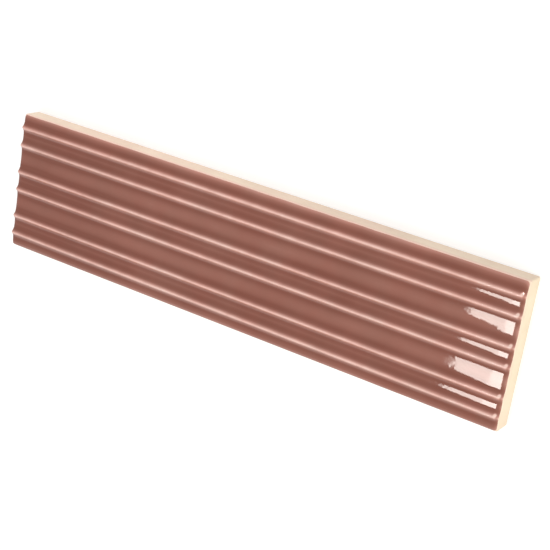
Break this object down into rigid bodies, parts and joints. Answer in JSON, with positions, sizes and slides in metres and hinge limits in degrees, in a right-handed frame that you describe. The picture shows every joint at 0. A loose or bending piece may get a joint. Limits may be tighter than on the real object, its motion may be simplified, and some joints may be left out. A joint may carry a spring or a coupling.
{
  "type": "fluted wall tile",
  "caption": "Long narrow glazed ceramic wall tile with slim rounded ribs in pairs along its face and a keyed back.",
  "frame": {"origin": "middle of the tile's back, which lies on the XY plane", "axes": "+X along the ribs and the tile's length, +Y across its width, +Z out of the ribbed, glazed face"},
  "size_m": [0.3, 0.075, 0.0127],
  "materials": {
    "glaze": "glossy rose-brown glaze, paler where it thins over the ribs",
    "biscuit": "bare cream biscuit on the sides and the back, matte"
  },
  "bodies": {
    "root": {"tile": "glaze"}
  },
  "joints": []
}
